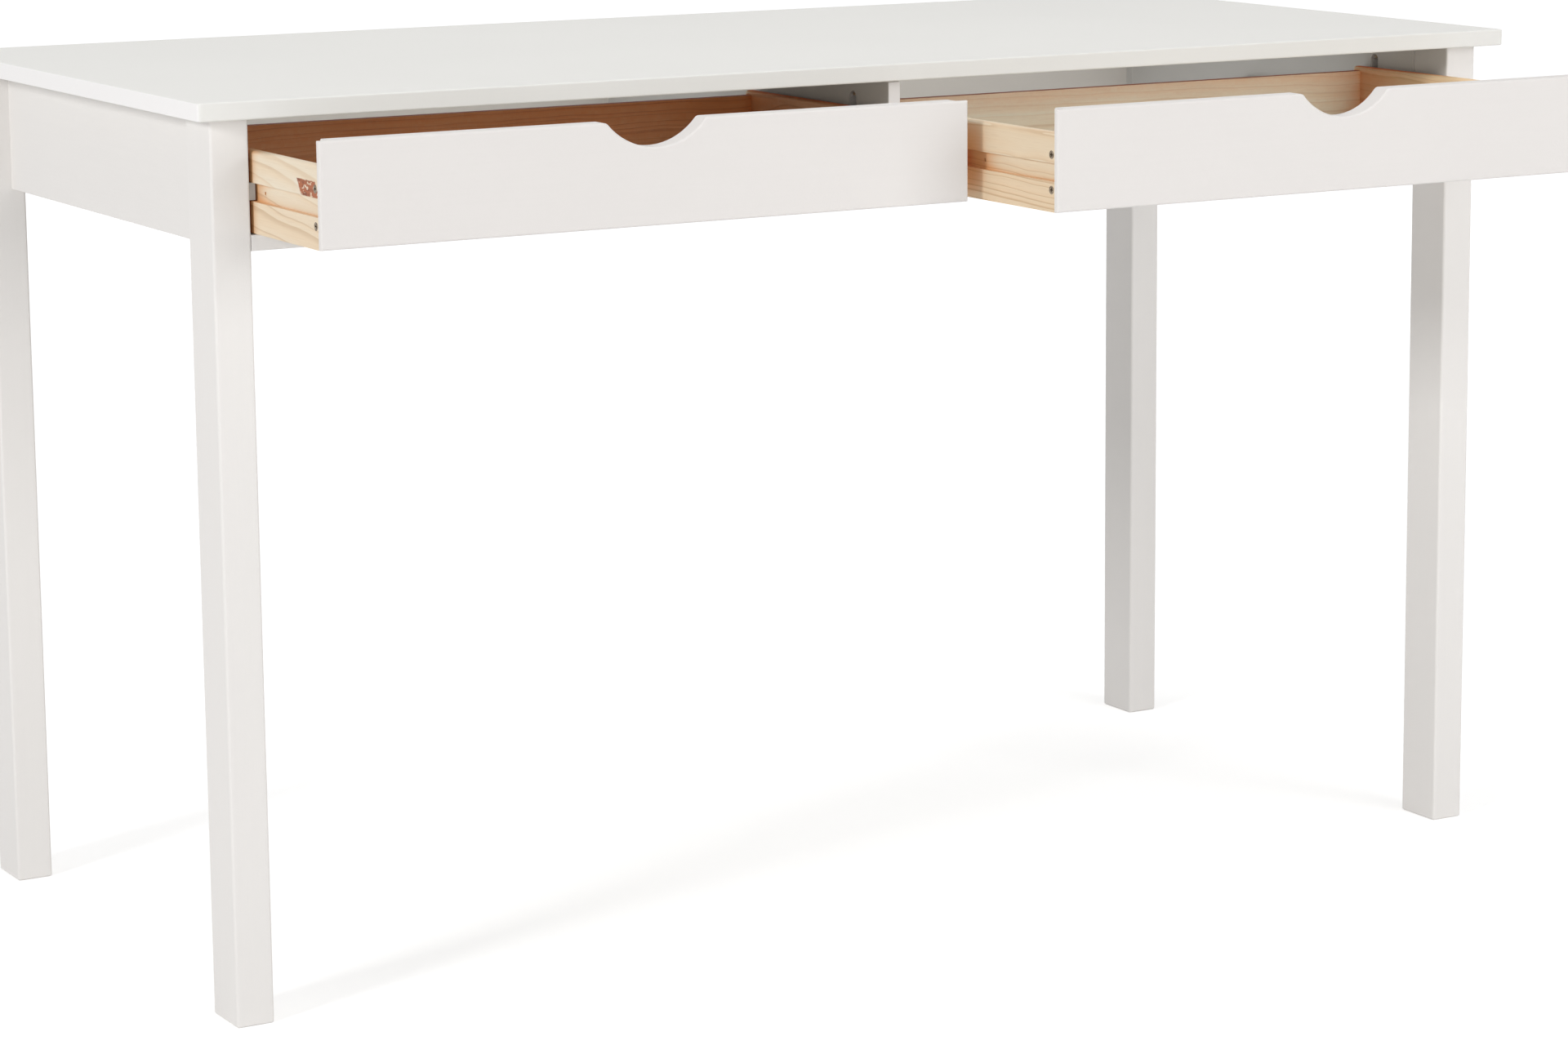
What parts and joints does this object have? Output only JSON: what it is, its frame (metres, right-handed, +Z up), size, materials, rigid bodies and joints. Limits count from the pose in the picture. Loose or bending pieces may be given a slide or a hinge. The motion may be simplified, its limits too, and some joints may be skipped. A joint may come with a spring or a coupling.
{
  "type": "kneehole desk",
  "caption": "Painted writing desk with a thin top on plain square legs and shallow pine-sided drawers on wooden runners, each front with a round finger scoop.",
  "frame": {"origin": "on the floor, under the middle of the desk's outline with the drawers open as they rest", "axes": "+X along the desk to the right as the sitter sees it, +Y from the sitter's side to the back, +Z up"},
  "size_m": [1.3, 0.818, 0.76],
  "materials": {
    "white_paint": "satin white paint over smooth wood",
    "pine": "clear-sealed pine with an open grain and small knots",
    "hardboard": "thin pale fibre panel, smooth",
    "dowel_wood": "plain turned beech",
    "zinc_steel": "bright zinc plating",
    "cam_zinc": "dull cast zinc"
  },
  "bodies": {
    "desk": {"table_top": "white_paint", "front_left_leg": "white_paint", "front_right_leg": "white_paint", "rear_left_leg": "white_paint", "rear_right_leg": "white_paint", "left_apron": "white_paint", "right_apron": "white_paint", "back_rail": "white_paint", "front_rail": "white_paint", "centre_divider": "white_paint", "left_apron_runner": "white_paint", "left_divider_runner": "white_paint", "right_divider_runner": "white_paint", "right_apron_runner": "white_paint", "rail_dowels": "dowel_wood", "cam_bolts": "zinc_steel", "cam_discs": "cam_zinc", "top_screws": "zinc_steel", "runner_screws": "zinc_steel", "divider_screws": "zinc_steel"},
    "left_drawer": {"left_drawer_front": "white_paint", "left_drawer_left_side": "pine", "left_drawer_right_side": "pine", "left_drawer_back": "pine", "left_drawer_bottom": "hardboard", "left_drawer_front_screws": "zinc_steel", "left_drawer_back_screws": "zinc_steel", "left_drawer_bottom_nails": "zinc_steel"},
    "right_drawer": {"right_drawer_front": "white_paint", "right_drawer_left_side": "pine", "right_drawer_right_side": "pine", "right_drawer_back": "pine", "right_drawer_bottom": "hardboard", "right_drawer_front_screws": "zinc_steel", "right_drawer_back_screws": "zinc_steel", "right_drawer_bottom_nails": "zinc_steel"}
  },
  "joints": [
    {"name": "left_drawer_slide", "type": "slide", "parent": "desk", "child": "left_drawer", "axis": [0, -1, 0], "range_m": [-0.13, 0.135]},
    {"name": "right_drawer_slide", "type": "slide", "parent": "desk", "child": "right_drawer", "axis": [0, -1, 0], "range_m": [-0.238, 0.027]}
  ]
}
